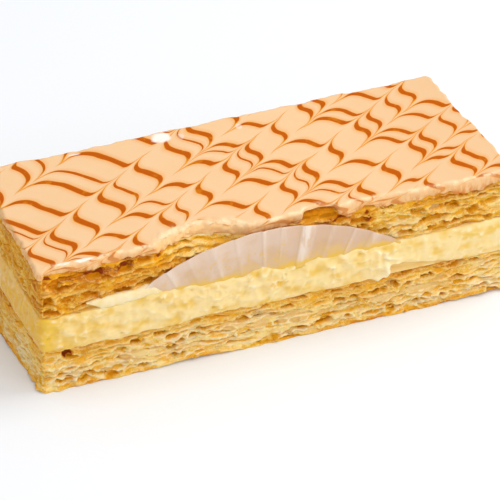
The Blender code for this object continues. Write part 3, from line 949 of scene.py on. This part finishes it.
# Where it hangs lower at the front: place along it, half width and how much lower, in mm
HANGS = [(-9, 4, 0.6), (0, 5, 1.2), (19.5, 2, 1.7), (27, 3, 0.4), (33.4, 1.2, 0.9), (39, 5, 0.7),
         (48, 6, 0.8), (57, 6, 0.8)]
icing_cut = Cut(ICING_COLUMNS, seed=80)
front = icing_cut.front
crumbled, blister = broken_back(icing_cut, CRUMBLED), broken_back(icing_cut, BLISTER)
ragged = (0.35 * icing_cut.waves(8) + 0.18 * icing_cut.waves(2.2)) * MM
edge = icing_setback(icing_cut) + crumbled + blister + ragged * np.where(front, 1, 1.7)
crumbling = np.clip(crumbled / (1.2 * MM), 0, 1)
shell = np.clip(blister / (1.0 * MM), 0, 1)
droop = 0.7 + 0.7 * icing_cut.waves(5) + 0.6 * icing_cut.waves(1.4)
droop = ICING_DROOP * np.clip(droop, 0, 1.7)
for at, half_width, lower in HANGS:
    droop = droop + lower * MM * icing_cut.near(at, half_width)
droop = np.where(front, droop * (1 - shell) - BLISTER_LIFT * shell, 0.3 * droop)
thick = icing_high.z - icing_low.z
skin = Skin("side", "shoulder", "crumbled")
skin.add(icing_cut.drawn_in(icing_cut.ring(edge, icing_low.z), 0.3))
for inward, share, side, shoulder in ICING_RIM:
    below = 1 - min(share, 1)
    hangs = inward < 1
    fine = 0.16 * MM * icing_cut.waves(1.5) * (share < 0.95)
    fine = fine + crumbling * (0.3 * icing_cut.waves(1.0) + 0.2 * icing_cut.waves(3)) * MM
    inset = edge + inward * MM * (1 + 1.2 * crumbling) + fine * (0 < share <= 1.02)
    icing_cut.waves(4)  # one drawn and not used, which keeps the later ones as they are
    lumpy = 0.25 * MM * crumbling * icing_cut.waves(1.5) * (share > 0 and hangs)
    hung = droop * below**1.5 * hangs * (1 + 0.9 * crumbling)
    # Sides are painted darker peach as painted shade, more strongly on the ends and back
    skin.add(icing_cut.ring(inset, icing_low.z + share * thick - hung + lumpy),
             side=side * np.where(front, 1, 1.8),
             shoulder=np.where(front, np.clip(shoulder + 0.4 * crumbling * side, 0, 1), 0),
             crumbled=crumbling * (inward < 1.3))
rim = skin.rings[-1]
for share in ICING_INWARD:
    skin.add(icing_cut.drawn_in(rim, share))

# The skewer's strokes run up to the right. Each is where it crosses the slab's middle, square
# to the strokes, the way it was drawn (+1 up to the right, -1 down to the left), and how far
# it reaches into the wet icing ahead of it and behind it, in mm
STROKE_ANGLE = math.radians(34.5)
STROKES = [(-50.5, 1, 0.2, 0.2), (-41, -1, 1.1, 0.8), (-25.1, 1, 0.2, 0.4), (-14, -1, 0.36, 0.6),
           (-7, 1, 0.2, 0.4), (0.9, -1, 0.36, 0.6), (10, 1, 0.2, 0.4), (18, -1, 0.36, 0.6),
           (26.3, 1, 0.2, 0.32), (34.7, -1, 0.36, 0.5), (39, 1, 0.2, 0.28), (49, -1, 0.36, 0.6)]
STROKE_PULL = 8.5
STROKE_FADE = 0.12
# The piped lines, nearly square to the strokes: where each lies along them, and its width, in mm
PIPED_ANGLE = math.radians(37.0)
PIPED = [(-58.8, 1.4), (-53, 0.6), (-49.8, 1.8), (-40.5, 1.9), (-29.6, 1.9), (-23.4, 1),
         (-13.9, 1.9), (-1.8, 1.8), (4.1, 0.7), (8.1, 1.8), (19.4, 1.8), (31.5, 1.8), (36.6, 1.6),
         (45.5, 1.5), (52.2, 1.7)]

feathering, given, result = new_tree(
    "feathering", "ShaderNodeTree", {"Vector": "Vector"}, {"Line": "Float", "Halo": "Float"})
flat = (given - (MIDDLE.x, MIDDLE.y, 0)) * (1 / MM, 1 / MM, 0)
wobble = place(feathering, "ShaderNodeTexNoise", {"Vector": flat, "Scale": 0.12, "Detail": 1.0})
flat = (wobble["Color"] - (0.5, 0.5, 0.5)) * (2.0, 2.0, 0) + flat
square_to_strokes = (math.sin(STROKE_ANGLE), -math.cos(STROKE_ANGLE), 0)
sideways = calc("DOT_PRODUCT", flat, square_to_strokes)["Value"]
along_strokes = (math.cos(PIPED_ANGLE), math.sin(PIPED_ANGLE), 0)
drawn = calc("DOT_PRODUCT", flat, along_strokes)["Value"]
strain = None
for at, way, ahead, behind in STROKES:
    away = sideways - at
    reach = calc("GREATER_THAN", away, 0.0) * (behind - ahead) + ahead
    held = reach / (abs(away) + reach)
    pull = (held - STROKE_FADE) / (1 - STROKE_FADE)
    drawn = calc("MAXIMUM", pull, 0.0) * (-way * STROKE_PULL) + drawn
    steep = held * held / reach
    strain = calc("MAXIMUM", strain, steep) if strain else steep
line, halo = None, None
for at, width in PIPED:
    away = abs(drawn - at)
    one = faded(away, width * 0.68, width * 0.32)
    soft = faded(away, width * 0.7 + 1.6, width * 0.4)
    line = calc("MAXIMUM", line, one) if line else one
    halo = calc("MAXIMUM", halo, soft) if halo else soft
thinned = faded(1.0 / (strain * (STROKE_PULL * 0.55) + 1.0), 0.1, 0.6, 0.3, 1.0)
fed(result, {"Line": line * thinned, "Halo": halo * (thinned * -0.5 + 1.0)})

# White spots on the icing: place along the slab and across it, half length and half width, in
# mm, and how white
WHITE_SPOTS = [(-14.9, 21.6, 2.5, 2.3, 0.85), (-50.5, -21.9, 2.6, 0.6, 0.8), (-56, -21.7, 1.8, 0.5, 0.6),
        (-9.9, 20.5, 0.8, 1.4, 0.3), (-38, 22.3, 1.6, 0.3, 0.7), (5.5, 19.6, 0.9, 1.3, 0.35)]

fondant, tree, shader, there = new_material("feathered icing")
x, _, z = apart(there)
drop = calc("MAXIMUM", (icing_high.z - 0.1 * MM) - z, 0.0)
lines = place(tree, "ShaderNodeGroup", {"Vector": there + combined(0.0, drop * -2.5, 0.0)},
              node_tree=feathering)
crumbled = look(tree, "crumbled")
unbroken = crumbled * -0.85 + 1.0
syrup = lines["Line"] * unbroken * faded(grain(there, 2.5 * MM), 0.25, 0.5, 0.72, 1.0)
side = look(tree, "side")
run_down = faded(grain(there * (1.0, 1.0, 0.3), 1.3 * MM, 2.0, 0.6), 0.42, 0.66)
streaky = side * run_down * unbroken
broken_highlight = faded(grain(there, 2.4 * MM, 3.0, 0.6), 0.4, 0.6, 0.15, 1.0)
colour = coated(
    srgb(238, 194, 144),
    (grain(there, 9 * MM, 3.0), srgb(241, 202, 158)),
    (faded(x, 20 * MM, 60 * MM, 0.0, 0.4), srgb(224, 182, 136)),
    (lines["Halo"] * unbroken, srgb(234, 160, 84)),
    (faded(syrup, 0.0, 0.5), srgb(229, 147, 26)),
    (faded(syrup, 0.4, 0.95), srgb(190, 88, 0)),
    # The side painted darker peach, as painted shade
    (side * 0.45, srgb(242, 190, 124)),
    (streaky * 0.45, srgb(226, 152, 78)),
    (crumbled * side, srgb(248, 196, 130)),
    (faded(drop, 1.2 * MM, 2.8 * MM, 0.0, 0.5) * streaky, srgb(206, 112, 40)),
    # The shoulder painted pale cream, as painted highlight broken into patches by noise
    (look(tree, "shoulder") * (broken_highlight * 0.85), srgb(252, 226, 182)),
)
from_middle = apart(there - MIDDLE)
for at, across, half_length, half_width, white in WHITE_SPOTS:
    away_x = (from_middle[0] - at * MM) / (half_length * MM)
    away_y = (from_middle[1] - across * MM) / (half_width * MM)
    away = away_x * away_x + away_y * away_y + centred(grain(there, 2 * MM), 0.6)
    colour = blended(faded(away, 1.3, 0.4, 0.0, white), colour, srgb(255, 250, 244))
fed(shader, {
    "Base Color": colour,
    "Roughness": grain(there, 3 * MM) * 0.2 + 0.3,
    "Normal": relief(lines["Line"], 0.35, 0.12 * MM),
    "Specular IOR Level": 0.04,
    **waxy(0.1, (1.0, 0.6, 0.35), 0.3 * MM),
})

icing = skin.closed("icing_sheet", icing_cut.outward, fondant)
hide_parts("icing")
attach(icing, "root")

# --------------------------------------------------
# The paper: a slip cut from the edge of a round fluted case of thin greaseproof. It stands in
# the custard against the front of the lid, its flutes pressed nearly flat into sharp creases
# that lean towards the case's middle. A Geometry Nodes tree folds it from a flat grid.

paper_low, paper_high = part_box("paper_liner")
PAPER_RADIUS = 60.0 * MM
PAPER_TOP = paper_high.z
PAPER_FOOT = 21.4 * MM
PAPER_PLANE = (paper_low.y + paper_high.y) / 2 + 0.12 * MM
HALF_TURN = 0.96 * math.acos((PAPER_FOOT - PAPER_TOP + PAPER_RADIUS) / PAPER_RADIUS)
FIRST_FLUTE = 100.35  # the flutes' count at the slip's middle, which places the creases

fluting, given, result = mesh_tree("fluting", {
    "Radius": PAPER_RADIUS, "Top": PAPER_TOP, "Foot": PAPER_FOOT,
    "Flute Turn": math.radians(6.2), "Flute Depth": 0.45 * MM, "Thickness": 0.09 * MM})
sheet = place(fluting, "GeometryNodeMeshGrid", {
    "Size X": 2 * HALF_TURN, "Size Y": 1.0, "Vertices X": 420, "Vertices Y": 26})
turn, share, _ = apart(place(fluting, "GeometryNodeInputPosition"))
share = share + 0.5
centre = given["Top"] - given["Radius"]
lowest = (given["Foot"] - centre) / calc("COSINE", turn)
radius = (given["Radius"] - lowest) * share + lowest
uneven = place(fluting, "ShaderNodeTexNoise", {"W": turn * 9.0, "Scale": 1.0},
               noise_dimensions="1D")
phase = turn / given["Flute Turn"] + centred(uneven, 0.55) + FIRST_FLUTE
fold = calc("FRACT", phase)
crease = faded(fold, 0.0, 0.2) * faded(fold, 0.7, 0.2)
strength = place(fluting, "ShaderNodeTexWhiteNoise", {"W": calc("FLOOR", phase)},
                 noise_dimensions="1D")
pressed = crease * (strength * 0.7 + 0.3) * (share * 0.4 + 0.6)
rounded = combined(radius * calc("SINE", turn), 0.0, radius * calc("COSINE", turn) + centre)
forward = pressed * given["Flute Depth"] + centred(grain(rounded, 8 * MM), 0.35 * MM)
placed = rounded + combined(MIDDLE.x + PAPER_MIDDLE, PAPER_PLANE - forward,
                            centred(grain(rounded, 3 * MM), 0.12 * MM))
marked = stored(stored(sheet, "crease", pressed), "share", share)
folded = place(fluting, "GeometryNodeSetPosition", {"Geometry": marked, "Position": placed})
thick = place(fluting, "GeometryNodeGroup", {0: folded, 1: given["Thickness"]},
              node_tree=giving_thickness)
finished(given, result, place(fluting, "GeometryNodeSetShadeSmooth", {"Geometry": thick}))

greaseproof, tree, shader, there = new_material("greaseproof paper")
share = look(tree, "share")
x, _, z = apart(there)
cloud = grain(there, 6 * MM, 3.0)
soaked = share + centred(cloud, 0.5) - faded(x, 4 * MM, 26 * MM, 0.0, 0.3)
smudge = faded(grain(there, 1.3 * MM, 3.0, 0.6), 0.55, 0.66) * faded(share, 0.9, 0.3, 0.1, 0.9)
worn_and_lit = faded(grain(there * (1.0, 1.0, 0.25), 1.6 * MM, 3.0, 0.6), 0.35, 0.6, 0.2, 0.75)
worn_and_lit = worn_and_lit * faded(x, 14 * MM, 22 * MM, 1.0, 0.5)
wet = z + centred(grain(there, 3 * MM, 3.0), 1.6 * MM)
tone = coated(
    srgb(212, 173, 130),
    (faded(share * 0.5 + cloud, 0.4, 1.0), srgb(224, 196, 174)),
    (faded(x, -8 * MM, 14 * MM, 0.0, 0.6), srgb(208, 166, 130)),
    (faded(soaked, 0.4, 0.0, 0.0, 0.85), srgb(228, 186, 112)),
    (smudge, srgb(228, 182, 104)),
    # Creases painted whiter: partly the paper worn white at its folds, partly painted highlight
    (faded(look(tree, "crease"), 0.1, 0.8) * worn_and_lit, srgb(246, 230, 214)),
    (faded(wet, 24.1 * MM, 22.8 * MM, 0.0, 0.85), srgb(234, 184, 56)),
)
fed(shader, {
    "Base Color": tone,
    "Roughness": 0.55,
    "Normal": relief(grain(there, 0.35 * MM, 3.0, 0.6), 0.15, 0.05 * MM),
    **waxy(0.15, (1.0, 0.7, 0.5), 0.4 * MM),
})

paper = linked("paper_slip", bpy.data.meshes.new("paper_slip"))
worked(paper, fluting, {"Material": greaseproof})
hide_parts("paper_liner")
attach(paper, "root")

# --------------------------------------------------
# Smears of custard: where the lid was pressed down, a tongue of cream was wiped up over its
# front at the left, next to the paper, and set there as a thin soft-edged skin.

# Each smear from left to right: place along the front, lower edge, upper edge, thickness, in mm
TONGUE = [(-51, 24.4, 24.7, 0.1), (-49.4, 23.6, 25, 0.5), (-47.6, 22.4, 25.3, 0.8),
          (-45, 21.8, 25.5, 0.9), (-42.6, 21.6, 25.6, 0.9), (-40, 22.2, 25.5, 0.9),
          (-37.5, 22.6, 25.5, 1), (-35.2, 22.6, 26.2, 1.1), (-33.4, 22.4, 25.8, 0.9),
          (-31.5, 22.2, 24.4, 0.7), (-30.4, 22.2, 22.8, 0.4)]
DRIP = [(-48.6, 19.4, 20, 0.1), (-48.2, 19.6, 21.6, 0.5), (-47.2, 20.2, 23, 0.7),
        (-45.8, 21.2, 23.2, 0.6), (-44.6, 21.9, 23.2, 0.2)]
SMEAR_POINTS = 14
SMEAR_STEPS = 6
SMEAR_BURIED = 0.5 * MM


def smear(name, stations):
    """A soft-edged skin of cream on the front, lofted between its stations."""
    steps = np.linspace(0, len(stations) - 1, SMEAR_STEPS * (len(stations) - 1) + 1)
    columns = [np.interp(steps, range(len(stations)), column) for column in zip(*stations)]
    turn = np.arange(SMEAR_POINTS) * math.tau / SMEAR_POINTS
    lid_front = MIDDLE.y - WIDTH / 2 + LID_SETBACK + SMEAR_BURIED
    skin = Skin("wall")
    for at, low, high, thick in zip(*columns):
        out = np.sin(turn)
        out = np.where(out > 0, np.maximum(out, 0) ** 0.7 * (thick + 0.35), out * 0.6)
        up = (low + high) / 2 - (high - low) / 2 * np.cos(turn)
        ring = [MIDDLE.x + at * MM + 0 * turn, lid_front - out * MM, up * MM]
        skin.add(np.stack(ring, axis=-1), wall=1)
    made = skin.closed(name, (0, -1, 0), custard_cream)
    worked(made, spreading, {"Lump Size": 2.5 * MM, "Lump Height": 0.35 * MM,
                             "Tone": 0.05, "Material": custard_cream})
    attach(made, "root")


smear("custard_tongue", TONGUE)
smear("custard_drip", DRIP)

# --------------------------------------------------
# The studio: a white table under soft light from above and behind, with a fill from the front.

bpy.ops.mesh.primitive_plane_add(size=4.0, location=(0, 0, 0))
floor = bpy.context.object
floor.name = "white_table"
white, _, shader, _ = new_material("white table")
fed(shader, {"Base Color": (0.885, 0.905, 0.935, 1), "Roughness": 0.9, "Specular IOR Level": 0.0})
floor.data.materials.append(white)

world = bpy.data.worlds.new("studio")
bpy.context.scene.world = world
world.use_nodes = True
fed(world.node_tree.nodes["Background"], {"Color": (1, 1, 1, 1), "Strength": 0.69})


def set_up(name, data, target, azimuth, elevation, distance, roll=0.0):
    """A lamp or a camera this far from its target, which it looks at, turned about its view."""
    across = math.radians(azimuth)
    up = math.radians(elevation)
    back = Vector((math.sin(across) * math.cos(up), -math.cos(across) * math.cos(up), math.sin(up)))
    made = linked(name, data)
    facing = back.to_track_quat("Z", "Y").to_matrix().to_4x4()
    turned = facing @ Matrix.Rotation(math.radians(roll), 4, "Z")
    made.matrix_world = Matrix.Translation(target + back * distance) @ turned
    return made


for name, azimuth, elevation, distance, size, power in (
        ("key", 85, 50, 0.9, 0.5, 3.25), ("fill", 15, 45, 1.0, 0.7, 2.75)):
    soft_light = bpy.data.lights.new(name, "AREA")
    soft_light.size = size
    soft_light.energy = power
    set_up(name, soft_light, Vector((0, 0, 0)), azimuth, elevation, distance)

# The camera looks down on the slice from the front left with a long lens
VIEW_TARGET = MIDDLE + Vector((-2.06, -8.40, 18.0)) * MM
VIEW_DISTANCE = 1138.74 * MM
long_lens = bpy.data.cameras.new("camera")
long_lens.lens = 324
long_lens.sensor_width = 36
camera = set_up("camera", long_lens, VIEW_TARGET, -20.49, 35.42, VIEW_DISTANCE, -0.3)
bpy.context.scene.camera = camera
bpy.context.scene.view_settings.view_transform = "Standard"

bpy.context.view_layer.update()
